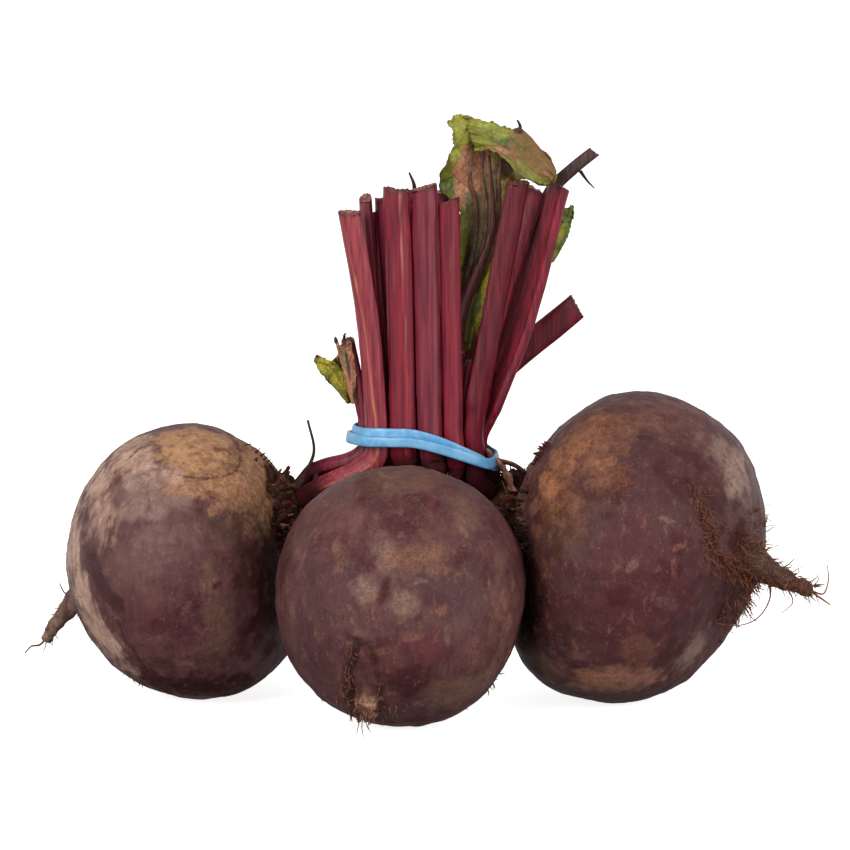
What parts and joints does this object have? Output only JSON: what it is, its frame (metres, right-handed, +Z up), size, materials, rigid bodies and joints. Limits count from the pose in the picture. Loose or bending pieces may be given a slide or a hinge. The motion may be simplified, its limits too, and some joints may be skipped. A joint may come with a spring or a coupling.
{
  "type": "beetroot bunch",
  "caption": "Bunch of fresh beetroot resting on its roots, with cut red leaf stalks standing up through a blue rubber band and torn leaf remnants left on them.",
  "frame": {"origin": "centre of the bounding box, on the ground under the roots", "axes": "+X across the bunch from the left root to the right one, +Y from the front root to the back, +Z up along the stalks"},
  "size_m": [0.226, 0.1122, 0.1655],
  "materials": {
    "root_skin": "dull reddish-brown skin with tan corky patches",
    "petiole": "satin crimson to plum, ribbed lengthwise",
    "withered": "dry dark brown",
    "leaf": "olive green going rust brown, veined",
    "rubber_band": "smooth light blue rubber"
  },
  "bodies": {
    "root": {"leaf_left": "leaf", "leaf_main": "leaf", "leaf_right": "leaf", "root_front": "root_skin", "root_left": "root_skin", "root_right": "root_skin", "rubber_band": "rubber_band", "stalk_broken": "petiole", "stalk_front_1": "petiole", "stalk_front_2": "petiole", "stalk_front_3": "petiole", "stalk_front_4": "petiole", "stalk_front_5": "petiole", "stalk_front_6": "petiole", "stalk_leafy": "petiole", "stalk_left_1": "petiole", "stalk_left_2": "petiole", "stalk_left_3": "petiole", "stalk_left_4": "petiole", "stalk_left_5": "petiole", "stalk_right_1": "petiole", "stalk_right_2": "petiole", "stalk_right_3": "petiole", "stalk_right_4": "petiole", "stalk_withered": "withered"}
  },
  "joints": []
}
